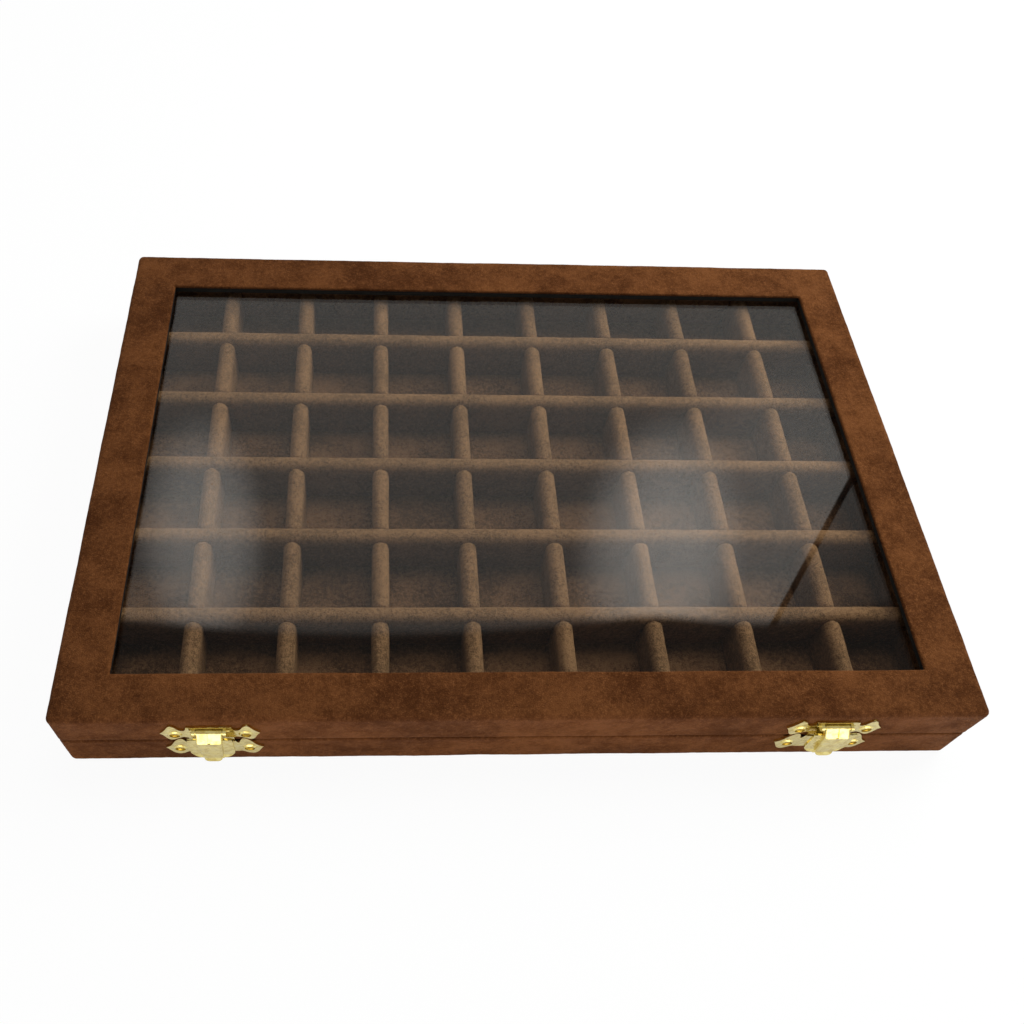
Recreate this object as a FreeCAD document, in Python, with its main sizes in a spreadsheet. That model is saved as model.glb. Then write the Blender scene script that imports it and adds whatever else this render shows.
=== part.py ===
import FreeCAD, Part
import math
import operator
import os
from types import SimpleNamespace

import Sketcher

# A velvet-covered display case for small jewelry: a grid of cells under a hinged lid with a glass window.
# +X runs to the right, +Y to the back and +Z up. The origin is the middle of the face it stands on.

COLUMNS = 9
ROWS = 6
SIDES = {"left": -1, "right": 1}

DRIVING_SIZES = {
    # the case
    "case_width": 350,
    "case_depth": 240,
    "base_height": 20,
    "lid_height": 20,
    "velvet": 1.2,
    "top_edge_radius": 2.2,
    "corner_radius_extra": 0.3,
    "rim_edge_radius": 1.0,
    # under the cells
    "fold_lift": 0.2,
    "fold_width": 12,
    "bottom_board": 3,
    "floor_height": 10,
    "floor_lining": 1.2,
    # the insert of cells
    "collar": 4.5,
    "divider": 6,
    "divider_below_glass": 1.5,
    "cross_divider_drop": 1.5,
    "collar_drop": 1.8,
    "lap_clearance": 0.15,
    # the lid
    "ring_side": 20.4,
    "ring_front": 18.7,
    "ring_back": 21.4,
    "ring_board": 2.8,
    "ring_edge_set_back": 0.4,
    "window_edge_radius": 1.0,
    "glass": 2,
    "glass_clearance": 0.3,
    "lid_wall": 5.4,
    "retainer": 1.2,
    "lid_clearance": 0.7,
    # the hinges
    "hinge_from_side": 65,
    "hinge_width": 26,
    "hinge_leaf_height": 11,
    "hinge_leaf": 0.8,
    "hinge_pin_radius": 0.8,
    "hinge_knuckle_wall": 1.1,
    "hinge_face_gap": 0.2,
    "hinge_edge_gap": 0.3,
    "hinge_end_gap": 0.3,
    "hinge_nail_spacing": 17,
    "hinge_nail_height": 6.5,
    # the nails
    "nail_head_radius": 1.2,
    "nail_head_height": 0.35,
    "nail_radius": 0.6,
    "nail_length": 5,
    "nail_seat_depth": 0.5,
    "nail_seat_gap": 0.7,
    "seat_rim": 0.35,
    "seat_rise": 0.45,
    "seat_slope": 0.6,
    # the latches
    "latch_from_side": 57.7,
    "plate_width": 36.6,
    "plate": 1,
    "plate_nail_spacing": 26,
    "latch_plate_foot": 3.6,
    "latch_plate_height": 14,
    "latch_nail_height": 8.9,
    "catch_plate_top": 4.6,
    "catch_plate_height": 15.6,
    "catch_nail_height": 5.2,
    "lid_face_gap": 0.25,
    "latch_pin_radius": 0.8,
    "latch_pin_height": 12.5,
    "knuckle_wall": 0.6,
    "knuckle_gap": 0.2,
    "pin_running_gap": 0.08,
    "ear_width": 1.2,
    "ear_gap": 0.3,
    "tongue": 0.9,
    "tongue_rise": 1.4,
    "tongue_width": 16.4,
    "boss_width": 9.4,
    "boss_tip_width": 7,
    "boss_tip_radius": 2.2,
    "boss_edge_radius": 0.7,
    "shoulder_out": 5.3,
    "shoulder_height": 10.4,
    "front_out": 5.6,
    "front_height": -3.2,
    "lip_out": 6.2,
    "lip_height": -5.2,
    "tongue_corner_radius": 4.5,
    "groove_width": 1,
    "groove_depth": 0.35,
    "bead_radius": 0.7,
    "bead_height": -2.6,
    "tab_reach": 3,
    "tab_width": 3.8,
    "tab": 1,
    "tab_seam_gap": 0.5,
    # one overrun for every cut
    "overrun": 1,
}

# The right half of each latch plate: shares of half its width, and of its height from the edge at the seam.
LATCH_BLOCK_TOP_SHARES = [(0, 0.85), (0.45, 0.85), (0.47, 0.72)]
LATCH_LEAF_TOP_SHARES = [
    (0.47, 0.72),
    (0.54, 0.64),
    (0.61, 0.7),
    (0.68, 0.88),
    (0.76, 0.94),
    (0.84, 0.79),
    (0.92, 0.6),
    (1, 0.47),
]
LATCH_LEAF_FOOT_SHARES = [
    (1, 0.47),
    (0.93, 0.32),
    (0.87, 0.12),
    (0.8, 0.03),
    (0.72, 0.07),
    (0.64, 0.15),
    (0.53, 0.22),
]
LATCH_BLOCK_FOOT_SHARES = [(0.53, 0.22), (0.45, 0.16), (0.45, 0), (0, 0)]
CATCH_BLOCK_FOOT_SHARES = [(0, 0.86), (0.45, 0.86), (0.525, 0.84)]
CATCH_LEAF_FOOT_SHARES = [(0.525, 0.84), (0.6, 0.89), (0.69, 0.98), (0.78, 0.99), (0.89, 0.85), (1, 0.575)]
CATCH_LEAF_TOP_SHARES = [(1, 0.575), (0.815, 0.29), (0.72, 0.08), (0.63, 0), (0.57, 0.1), (0.525, 0.285)]
CATCH_BLOCK_TOP_SHARES = [(0.525, 0.285), (0.49, 0.28), (0.45, 0.14), (0, 0.14)]

# How far across and up the dome of a nail its middle lies.
CROWN_SHARE = math.sqrt(0.5)

MIDDLE_KNUCKLE_SHARE = 1 / 3

# How far from level an edge may lie, as a share of the overrun.
LEVEL_SHARE = 0.001

doc = FreeCAD.newDocument("display_case")
parts = {}

OPERATIONS = {"+": operator.add, "-": operator.sub, "*": operator.mul, "/": operator.truediv}


class Size:
    """A length that follows the sheet: the expression that works it out, and its value now."""

    def __init__(self, text, value):
        self.text = text
        self.value = value

    def combined(self, sign, other, swapped=False):
        first, second = (as_size(other), self) if swapped else (self, as_size(other))
        value = OPERATIONS[sign](first.value, second.value)
        return Size(f"({first.text} {sign} {second.text})", value)

    def __add__(self, other):
        return self.combined("+", other)

    def __sub__(self, other):
        return self.combined("-", other)

    def __rsub__(self, other):
        return self.combined("-", other, swapped=True)

    def __mul__(self, other):
        return self.combined("*", other)

    def __truediv__(self, other):
        return self.combined("/", other)

    def __neg__(self):
        return self * -1

    __radd__ = __add__
    __rmul__ = __mul__


def as_size(length):
    return length if isinstance(length, Size) else Size(f"({length})", length)


def sheet_sizes():
    """Writes the driving sizes into the document's sheet and returns them by name."""
    sheet = doc.addObject("Spreadsheet::Sheet", "Sizes")
    for row, (name, value) in enumerate(DRIVING_SIZES.items(), start=1):
        sheet.set(f"A{row}", name)
        sheet.set(f"B{row}", str(value))
        sheet.setAlias(f"B{row}", name)
    doc.recompute()
    return SimpleNamespace(**{name: Size(f"Sizes.{name}", sheet.get(name)) for name in DRIVING_SIZES})


# Helpers that make bound objects


def bind(obj, **lengths):
    for name, length in lengths.items():
        obj.setExpression(name, as_size(length).text)
    return obj


def place(obj, x, y, z):
    for axis, length in zip("xyz", (x, y, z)):
        obj.setExpression(f"Placement.Base.{axis}", as_size(length).text)
    return obj


def block(low, extent):
    box = doc.addObject("Part::Box", "Block")
    bind(box, Length=extent[0], Width=extent[1], Height=extent[2])
    return place(box, *low)


TURN_Z_TO = {
    "x": FreeCAD.Rotation(FreeCAD.Vector(0, 1, 0), 90),
    "y": FreeCAD.Rotation(FreeCAD.Vector(1, 0, 0), -90),
}


def rod(start, along, radius, length):
    """A round bar from its start along +X or +Y."""
    cylinder = doc.addObject("Part::Cylinder", "Rod")
    cylinder.Placement = FreeCAD.Placement(FreeCAD.Vector(), TURN_Z_TO[along])
    bind(cylinder, Radius=radius, Height=length)
    return place(cylinder, *start)


def fuse(shapes):
    joined = doc.addObject("Part::MultiFuse", "Joined")
    joined.Shapes = shapes
    joined.Refine = True
    return joined


def cut(base, tool):
    trimmed = doc.addObject("Part::Cut", "Trimmed")
    trimmed.Base = base
    trimmed.Tool = tool
    return trimmed


def part(label, obj):
    """Names a finished sub-part."""
    obj.Label = label
    parts[label] = obj
    return obj


def sketch_from_above(body, corners):
    """A closed outline on the body's XY plane, each corner held by the two lengths given for it."""
    sketch = body.newObject("Sketcher::SketchObject", "Outline")
    plane = next(feature for feature in body.Origin.OriginFeatures if feature.Role == "XY_Plane")
    sketch.AttachmentSupport = [(plane, "")]
    sketch.MapMode = "FlatFace"
    points = [FreeCAD.Vector(x.value, y.value, 0) for x, y in corners]
    sketch.addGeometry([Part.LineSegment(a, b) for a, b in zip(points, points[1:] + points[:1])])
    for index, (x, y) in enumerate(corners):
        before = (index - 1) % len(corners)
        sketch.addConstraint(Sketcher.Constraint("Coincident", before, 2, index, 1))
        for kind, length in (("DistanceX", x), ("DistanceY", y)):
            held = sketch.addConstraint(Sketcher.Constraint(kind, -1, 1, index, 1, length.value))
            sketch.setExpression(f"Constraints[{held}]", length.text)
    return sketch


def rectangle(half_width, half_depth):
    return [
        (-half_width, -half_depth),
        (half_width, -half_depth),
        (half_width, half_depth),
        (-half_width, half_depth),
    ]


def raised_body(corners, height):
    """A body padded up from an outline that is seen from above."""
    body = doc.addObject("PartDesign::Body", "Body")
    pad = body.newObject("PartDesign::Pad", "Pad")
    pad.Profile = sketch_from_above(body, corners)
    bind(pad, Length=height)
    doc.recompute()
    return body


def round_edges(body, radius, wanted):
    """Rounds the edges of the body whose bounding box passes the wanted test."""
    base = body.Tip
    edges = [f"Edge{i}" for i, edge in enumerate(base.Shape.Edges, start=1) if wanted(edge.BoundBox)]
    fillet = body.newObject("PartDesign::Fillet", "Fillet")
    fillet.Base = (base, edges)
    bind(fillet, Radius=radius)
    doc.recompute()


def upright(box):
    return box.ZLength > box.XLength + box.YLength


def level_at(height):
    tolerance = size.overrun.value * LEVEL_SHARE
    return lambda box: max(abs(box.ZMin - height), abs(box.ZMax - height)) < tolerance


size = sheet_sizes()

# Lengths that several pieces share

half_width = size.case_width / 2
half_depth = size.case_depth / 2
seam = size.base_height
case_top = seam + size.lid_height
ring_bottom = case_top - size.velvet - size.ring_board
glass_bottom = ring_bottom - size.glass
lid_wall_inset = size.velvet + size.lid_wall
lid_inner_inset = lid_wall_inset + size.retainer
collar_inset = lid_inner_inset + size.lid_clearance
cell_inset = collar_inset + size.collar
fold_top = size.fold_lift + size.velvet
board_top = fold_top + size.bottom_board
long_divider_top = glass_bottom - size.divider_below_glass
cross_divider_top = long_divider_top - size.cross_divider_drop
cells_half_width = half_width - cell_inset
cells_half_depth = half_depth - cell_inset
column_pitch = (cells_half_width * 2 + size.divider) / COLUMNS
row_pitch = (cells_half_depth * 2 + size.divider) / ROWS
lap_height = (size.floor_height + cross_divider_top) / 2
corner_radius = size.top_edge_radius + size.corner_radius_extra
hinge_radius = size.hinge_pin_radius + size.hinge_knuckle_wall
hinge_axis_y = half_depth + size.hinge_face_gap + hinge_radius
hinge_spacing = size.case_width - size.hinge_from_side * 2
latch_spacing = size.case_width - size.latch_from_side * 2


def inset_block(inset, low, high):
    """A block that keeps the inset from all four sides of the case."""
    corner = (inset - half_width, inset - half_depth, low)
    return block(corner, (size.case_width - inset * 2, size.case_depth - inset * 2, high - low))


def four_boards(inset, thickness, low, high):
    """Boards round the case: front and back run through, and the sides stand between them."""
    height = high - low
    through = size.case_width - inset * 2
    between = size.case_depth - (inset + thickness) * 2
    left = inset - half_width
    side_front = inset + thickness - half_depth
    return {
        "front": block((left, inset - half_depth, low), (through, thickness, height)),
        "back": block((left, half_depth - inset - thickness, low), (through, thickness, height)),
        "left": block((left, side_front, low), (thickness, between, height)),
        "right": block((half_width - inset - thickness, side_front, low), (thickness, between, height)),
    }


def nail_holes(pair_spacing, spacing, height, at_back):
    """Holes for two pairs of nails in the front or back face, from outside the face to the nails' points."""
    length = size.nail_length + size.overrun
    start = half_depth - size.nail_length if at_back else -half_depth - size.overrun
    centres = [pair_spacing / 2 * side + spacing / 2 * end for side in SIDES.values() for end in (-1, 1)]
    return fuse([rod((x, start, height), "y", size.nail_radius, length) for x in centres])


plate_nails = (latch_spacing, size.plate_nail_spacing)
leaf_nails = (hinge_spacing, size.hinge_nail_spacing)
catch_nail_holes = nail_holes(*plate_nails, seam - size.catch_nail_height, at_back=False)
latch_nail_holes = nail_holes(*plate_nails, seam + size.latch_nail_height, at_back=False)
hinge_base_holes = nail_holes(*leaf_nails, seam - size.hinge_nail_height, at_back=True)
hinge_lid_holes = nail_holes(*leaf_nails, seam + size.hinge_nail_height, at_back=True)


# The base: boards, velvet skin, floor


def add_base():
    felt = inset_block(size.fold_width, as_size(0), fold_top)
    part("bottom_sheet", felt)
    part("bottom_board", inset_block(collar_inset, fold_top, board_top))
    walls = four_boards(size.velvet, collar_inset - size.velvet, fold_top, seam - size.velvet)
    walls["front"] = cut(walls["front"], catch_nail_holes)
    walls["back"] = cut(walls["back"], hinge_base_holes)
    for side, wall in walls.items():
        part(f"base_wall_{side}", wall)
    lining_bottom = size.floor_height - size.floor_lining
    part("floor_foam", inset_block(cell_inset, board_top, lining_bottom))
    part("floor_lining", inset_block(cell_inset, lining_bottom, size.floor_height))


def add_base_velvet():
    body = raised_body(rectangle(half_width, half_depth), seam - size.fold_lift)
    place(body, 0, 0, size.fold_lift)
    round_edges(body, corner_radius, upright)
    round_edges(body, size.rim_edge_radius, level_at(body.Tip.Shape.BoundBox.ZMax))
    round_edges(body, size.rim_edge_radius, level_at(body.Tip.Shape.BoundBox.ZMin))
    hollow = fuse(
        [
            inset_block(size.fold_width, as_size(0), fold_top),
            inset_block(size.velvet, fold_top, seam - size.velvet),
            inset_block(collar_inset, seam - size.velvet, seam + size.overrun),
            catch_nail_holes,
            hinge_base_holes,
        ]
    )
    part("base_velvet", cut(body, hollow))


# The insert: collar strips and crossed dividers


def add_collar():
    strips = four_boards(collar_inset, size.collar, board_top, long_divider_top - size.collar_drop)
    for side, strip in strips.items():
        part(f"collar_{side}", strip)


def column_x(index):
    return column_pitch * index - cells_half_width - size.divider / 2


def row_y(index):
    return cells_half_depth + size.divider / 2 - row_pitch * index


def divider_blank(low, along, length, top):
    """A standing strip with a fully rounded top edge."""
    radius = size.divider / 2
    height = top - radius - size.floor_height
    across = size.divider
    if along == "x":
        extent, start = (length, across, height), (low[0], low[1] + radius, top - radius)
    else:
        extent, start = (across, length, height), (low[0] + radius, low[1], top - radius)
    return fuse([block((*low, size.floor_height), extent), rod(start, along, radius, length)])


def add_long_dividers():
    slot = size.divider + size.lap_clearance * 2
    for row in range(1, ROWS):
        front = row_y(row) - size.divider / 2
        blank = divider_blank((-cells_half_width, front), "x", cells_half_width * 2, long_divider_top)
        low = size.floor_height - size.overrun
        extent = (slot, size.divider + size.overrun * 2, lap_height - low)
        lefts = [column_x(column) - slot / 2 for column in range(1, COLUMNS)]
        slots = [block((left, front - size.overrun, low), extent) for left in lefts]
        part(f"long_divider_{row}", cut(blank, fuse(slots)))


def add_cross_dividers():
    slot = size.divider + size.lap_clearance * 2
    for column in range(1, COLUMNS):
        left = column_x(column) - size.divider / 2
        blank = divider_blank((left, -cells_half_depth), "y", cells_half_depth * 2, cross_divider_top)
        extent = (size.divider + size.overrun * 2, slot, cross_divider_top + size.overrun - lap_height)
        fronts = [row_y(row) - slot / 2 for row in range(1, ROWS)]
        slots = [block((left - size.overrun, front, lap_height), extent) for front in fronts]
        part(f"cross_divider_{column}", cut(blank, fuse(slots)))


# The lid: boards, velvet skin, pane and its retainers


def add_lid():
    walls = four_boards(size.velvet, size.lid_wall, seam + size.velvet, ring_bottom)
    walls["front"] = cut(walls["front"], latch_nail_holes)
    walls["back"] = cut(walls["back"], hinge_lid_holes)
    for side, wall in walls.items():
        part(f"lid_wall_{side}", wall)
    part("glass_pane", inset_block(lid_wall_inset + size.glass_clearance, glass_bottom, ring_bottom))
    retainers = four_boards(lid_wall_inset, size.retainer, seam + size.velvet, glass_bottom)
    for side, retainer in retainers.items():
        part(f"glass_retainer_{side}", retainer)


def add_lid_ring():
    """Four flat strips with mitred corners, under the velvet round the window."""
    outer_x = half_width - size.velvet
    outer_y = half_depth - size.velvet
    inner_x = half_width - size.ring_side + size.ring_edge_set_back
    front_y = size.ring_front - size.ring_edge_set_back - half_depth
    back_y = half_depth - size.ring_back + size.ring_edge_set_back
    right = [(outer_x, -outer_y), (outer_x, outer_y), (inner_x, back_y), (inner_x, front_y)]
    outlines = {
        "front": [(-outer_x, -outer_y), (outer_x, -outer_y), (inner_x, front_y), (-inner_x, front_y)],
        "back": [(-outer_x, outer_y), (-inner_x, back_y), (inner_x, back_y), (outer_x, outer_y)],
        "left": [(-x, y) for x, y in reversed(right)],
        "right": right,
    }
    for side, corners in outlines.items():
        strip = raised_body(corners, size.ring_board)
        part(f"lid_ring_{side}", place(strip, 0, 0, ring_bottom))


def add_lid_velvet():
    body = raised_body(rectangle(half_width, half_depth), size.lid_height)
    place(body, 0, 0, seam)
    round_edges(body, corner_radius, upright)
    round_edges(body, size.top_edge_radius, level_at(body.Tip.Shape.BoundBox.ZMax))
    round_edges(body, size.rim_edge_radius, level_at(body.Tip.Shape.BoundBox.ZMin))
    window = body.newObject("PartDesign::Pocket", "Window")
    window_x = half_width - size.ring_side
    front_y = size.ring_front - half_depth
    back_y = half_depth - size.ring_back
    window_corners = [(-window_x, front_y), (window_x, front_y), (window_x, back_y), (-window_x, back_y)]
    window.Profile = sketch_from_above(body, window_corners)
    window.Type = "ThroughAll"
    window.Reversed = True
    doc.recompute()
    reach = size.case_width.value - size.ring_side.value
    window_edge = level_at(body.Tip.Shape.BoundBox.ZMax)
    round_edges(
        body,
        size.window_edge_radius,
        lambda box: window_edge(box) and max(abs(box.XMin), abs(box.XMax)) * 2 < reach,
    )
    hollow = fuse(
        [
            inset_block(lid_wall_inset, seam - size.overrun, seam + size.velvet),
            inset_block(size.velvet, seam + size.velvet, case_top - size.velvet),
            latch_nail_holes,
            hinge_lid_holes,
        ]
    )
    part("lid_velvet", cut(body, hollow))


# The hinges: two leaves on the back faces, with three knuckles round a pin


def hinge_leaf(x, rises, knuckle_spans, free_spans):
    """One leaf with its knuckles: it rises into the lid or hangs down on the base."""
    height = size.hinge_leaf_height
    low = seam + size.hinge_edge_gap if rises else seam - size.hinge_edge_gap - height
    plate = block((x - size.hinge_width / 2, half_depth, low), (size.hinge_width, size.hinge_leaf, height))
    knuckles = [rod((x + a, hinge_axis_y, seam), "x", hinge_radius, b - a) for a, b in knuckle_spans]
    swing = hinge_radius + size.hinge_edge_gap
    reach = size.hinge_leaf + size.overrun * 2
    clearings = []
    for a, b in free_spans:
        corner = (x + a - size.hinge_end_gap, half_depth - size.overrun, seam - swing)
        clearings.append(block(corner, (b - a + size.hinge_end_gap * 2, reach, swing * 2)))
    bore_radius = size.hinge_pin_radius + size.pin_running_gap if rises else size.hinge_pin_radius
    bore = rod((x - size.hinge_width, hinge_axis_y, seam), "x", bore_radius, size.hinge_width * 2)
    holes = hinge_lid_holes if rises else hinge_base_holes
    return cut(fuse([cut(plate, fuse(clearings + [holes])), *knuckles]), bore)


def add_hinges():
    middle = size.hinge_width * MIDDLE_KNUCKLE_SHARE / 2
    end = size.hinge_width / 2
    outer_spans = [(-end, -middle - size.hinge_end_gap), (middle + size.hinge_end_gap, end)]
    middle_spans = [(-middle, middle)]
    for side, sign in SIDES.items():
        x = hinge_spacing / 2 * sign
        part(f"hinge_base_leaf_{side}", hinge_leaf(x, False, outer_spans, middle_spans))
        part(f"hinge_lid_leaf_{side}", hinge_leaf(x, True, middle_spans, outer_spans))
        pin = rod((x - end, hinge_axis_y, seam), "x", size.hinge_pin_radius, size.hinge_width)
        part(f"hinge_pin_{side}", pin)


# The nails and latches are pressed shapes, drawn flat: X across, Y up from the seam, Z out of the face

FRONT = FreeCAD.Rotation(FreeCAD.Vector(1, 0, 0), 90)
BACK = FreeCAD.Rotation(FreeCAD.Vector(0, 0, 1), 180) * FRONT

length_of = SimpleNamespace(**{name: getattr(size, name).value for name in DRIVING_SIZES})


def point(x, y, z=0):
    return FreeCAD.Vector(x, y, z)


def pressed(label, shape, x, at_back=False):
    """Adds a shape that was drawn flat, stood up at the seam of the front or back face."""
    feature = doc.addObject("Part::Feature", "Pressed")
    feature.Shape = shape
    y = half_depth.value if at_back else -half_depth.value
    feature.Placement = FreeCAD.Placement(point(x, y, seam.value), BACK if at_back else FRONT)
    return part(label, feature)


def nail(seat):
    """A domed nail whose head sits at the seat's distance out of the face."""
    n = length_of
    crown = n.nail_head_radius * CROWN_SHARE
    crown_height = seat + n.nail_head_height * CROWN_SHARE
    dome = Part.Arc(
        point(0, 0, seat + n.nail_head_height),
        point(crown, 0, crown_height),
        point(n.nail_head_radius, 0, seat),
    )
    corners = [
        point(n.nail_head_radius, 0, seat),
        point(n.nail_radius, 0, seat),
        point(n.nail_radius, 0, -n.nail_length),
        point(0, 0, -n.nail_length),
        point(0, 0, seat + n.nail_head_height),
    ]
    edges = [dome.toShape()] + [Part.makeLine(a, b) for a, b in zip(corners, corners[1:])]
    return Part.Face(Part.Wire(edges)).revolve(point(0, 0), point(0, 0, 1), 360)


def add_nails():
    n = length_of
    plate_seat = n.plate - n.nail_seat_depth
    latches = latch_spacing.value
    hinges = hinge_spacing.value
    groups = [
        ("catch_plate_nails", latches, n.plate_nail_spacing, -n.catch_nail_height, plate_seat, False),
        ("latch_plate_nails", latches, n.plate_nail_spacing, n.latch_nail_height, plate_seat, False),
        ("hinge_base_nails", hinges, n.hinge_nail_spacing, -n.hinge_nail_height, n.hinge_leaf, True),
        ("hinge_lid_nails", hinges, n.hinge_nail_spacing, n.hinge_nail_height, n.hinge_leaf, True),
    ]
    for label, pair_spacing, spacing, height, seat, at_back in groups:
        centres = [sign * pair_spacing / 2 + end * spacing / 2 for sign in SIDES.values() for end in (-1, 1)]
        nails = [nail(seat).translated(point(x, height)) for x in centres]
        pressed(label, Part.Compound(nails), 0, at_back)


def smooth(points):
    curve = Part.BSplineCurve()
    curve.interpolate(points)
    return [curve.toShape()]


def straight(points):
    return [Part.makeLine(a, b) for a, b in zip(points, points[1:])]


def winged_plate(outline, seam_edge, rise, nail_height):
    """The stamped plate of a latch, with a pointed leaf at each side and a raised seat for each nail."""
    n = length_of
    edges = []
    for mirror in SIDES.values():
        for draw, shares in outline:
            across = [mirror * u * n.plate_width / 2 for u, v in shares]
            edges += draw([point(x, seam_edge + v * rise) for x, (u, v) in zip(across, shares)])
    sheet_metal = Part.Face(Part.Wire(Part.sortEdges(edges)[0])).extrude(point(0, 0, n.plate))
    dish_radius = n.nail_head_radius + n.nail_seat_gap
    rim_radius = dish_radius + n.seat_rim
    for end in (-1, 1):
        centre = point(end * n.plate_nail_spacing / 2, nail_height)
        top = centre + point(0, 0, n.plate)
        mound = Part.makeCone(rim_radius + n.seat_slope, rim_radius, n.seat_rise, top)
        hole = Part.makeCylinder(n.nail_radius, n.plate + n.overrun * 2, centre - point(0, 0, n.overrun))
        seat = centre + point(0, 0, n.plate - n.nail_seat_depth)
        dish = Part.makeCylinder(dish_radius, n.nail_seat_depth + n.seat_rise + n.overrun, seat)
        sheet_metal = sheet_metal.fuse(mound).cut(hole.fuse(dish))
    return sheet_metal


def box_between(low, high):
    return Part.makeBox(high.x - low.x, high.y - low.y, high.z - low.z, low)


def bar(radius, centre, half_length):
    """A round bar along X."""
    return Part.makeCylinder(radius, half_length * 2, centre - point(half_length, 0), point(1, 0))


knuckle_radius = length_of.latch_pin_radius + length_of.knuckle_wall
latch_axis = point(0, length_of.latch_pin_height, knuckle_radius + length_of.knuckle_gap)
ear_inner = length_of.boss_width / 2 + length_of.ear_gap
ear_outer = ear_inner + length_of.ear_width


def latch_plate():
    """The lid's plate: a window for the tongue's knuckle, between two ears that hold the pin."""
    n = length_of
    outline = [
        (straight, LATCH_BLOCK_TOP_SHARES),
        (smooth, LATCH_LEAF_TOP_SHARES),
        (smooth, LATCH_LEAF_FOOT_SHARES),
        (straight, LATCH_BLOCK_FOOT_SHARES),
    ]
    plate = winged_plate(outline, n.latch_plate_foot, n.latch_plate_height, n.latch_nail_height)
    room = knuckle_radius + n.knuckle_gap
    window = box_between(
        point(-ear_inner, latch_axis.y - room, -n.overrun),
        point(ear_inner, latch_axis.y + room, n.plate + n.overrun),
    )
    shape = plate.cut(window)
    for sign in SIDES.values():
        middle = point(sign * (ear_inner + ear_outer) / 2, 0)
        root = box_between(
            point(middle.x - n.ear_width / 2, latch_axis.y - knuckle_radius, 0),
            point(middle.x + n.ear_width / 2, latch_axis.y + knuckle_radius, latch_axis.z),
        )
        shape = shape.fuse([root, bar(knuckle_radius, latch_axis + middle, n.ear_width / 2)])
    return shape.cut(bar(n.latch_pin_radius, latch_axis, ear_outer + n.overrun)).removeSplitter()


def catch_plate():
    """The base's plate: it stands up in front of the lid, and the tongue's bead snaps under its tab."""
    n = length_of
    outline = [
        (straight, CATCH_BLOCK_FOOT_SHARES),
        (smooth, CATCH_LEAF_FOOT_SHARES),
        (smooth, CATCH_LEAF_TOP_SHARES),
        (straight, CATCH_BLOCK_TOP_SHARES),
    ]
    plate = winged_plate(outline, n.catch_plate_top, -n.catch_plate_height, -n.catch_nail_height)
    clear_of_lid = box_between(
        point(-n.plate_width, -n.lid_face_gap, -n.overrun),
        point(n.plate_width, n.catch_plate_top + n.overrun, n.lid_face_gap),
    )
    top = -n.tab_seam_gap
    tab = box_between(point(-n.tab_width / 2, top - n.tab, 0), point(n.tab_width / 2, top, n.tab_reach))
    return plate.cut(clear_of_lid).fuse(tab).removeSplitter()


def profile_prism(path, half_length):
    """A solid along X whose side view is the closed path of (out, up) points."""
    corners = [point(-half_length, up, out) for out, up in path]
    face = Part.Face(Part.makePolygon(corners + corners[:1]))
    return face.extrude(point(half_length * 2, 0))


def inward(path, distance):
    """The path moved square to itself, towards the case, with mitred bends."""
    moved = []
    directions = []
    for (out, up), (next_out, next_up) in zip(path, path[1:]):
        run = math.hypot(next_out - out, next_up - up)
        directions.append(((next_out - out) / run, (next_up - up) / run))
    for (out, up), before, after in zip(path, directions[:1] + directions, directions + directions[-1:]):
        square = (before[1] + after[1], -before[0] - after[0])
        stretch = 2 * distance / (square[0] ** 2 + square[1] ** 2)
        moved.append((out + square[0] * stretch, up + square[1] * stretch))
    return moved


def front_outline(corners, depth):
    """A solid through the latch whose front view is the closed outline."""
    return Part.Face(Part.makePolygon(corners + corners[:1])).extrude(point(0, 0, depth))


def boss_outline(margin):
    """The raised middle of the tongue seen from the front: straight, then tapered to its tip."""
    n = length_of
    wide = n.boss_width / 2 - margin
    narrow = n.boss_tip_width / 2 - margin
    high = latch_axis.y + knuckle_radius
    half = [(wide, high), (wide, n.shoulder_height), (narrow, n.lip_height)]
    corners = [point(x, y) for x, y in half] + [point(-x, y) for x, y in reversed(half)]
    return front_outline(corners, n.lip_out + n.overrun)


def round_lower_corners(shape, half_width, radius):
    """Rounds the two lower corners of a piece of the tongue, seen from the front."""
    n = length_of
    for sign in SIDES.values():
        centre = point(sign * (half_width - radius), n.lip_height + radius)
        outside = centre.x + sign * radius * 2
        corner = box_between(
            point(min(centre.x, outside), centre.y - radius * 2, -n.overrun),
            point(max(centre.x, outside), centre.y, n.lip_out + n.overrun),
        )
        quarter = Part.makeCylinder(radius, n.lip_out + n.overrun * 3, centre - point(0, 0, n.overrun))
        shape = shape.cut(corner.cut(quarter))
    return shape


def touching_line(centre, radius, end):
    """Where a line to the end point just touches a round bar, on its upper side, as (out, up)."""
    out, up = end[0] - centre.z, end[1] - centre.y
    angle = math.atan2(up, out) + math.acos(radius / math.hypot(out, up))
    return (centre.z + radius * math.cos(angle), centre.y + radius * math.sin(angle))


def round_boss(boss, path):
    """Rounds the two long edges of the tongue's raised middle."""
    n = length_of
    near = n.overrun * LEVEL_SHARE
    line = Part.makePolygon([point(0, up, out) for out, up in path])

    def runs_along(edge):
        ends = [vertex.Point for vertex in edge.Vertexes]
        on_line = all(line.distToShape(Part.Vertex(0, end.y, end.z))[0] < near for end in ends)
        return on_line and edge.BoundBox.YLength > near

    return boss.makeFillet(n.boss_edge_radius, [edge for edge in boss.Edges if runs_along(edge)])


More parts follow.
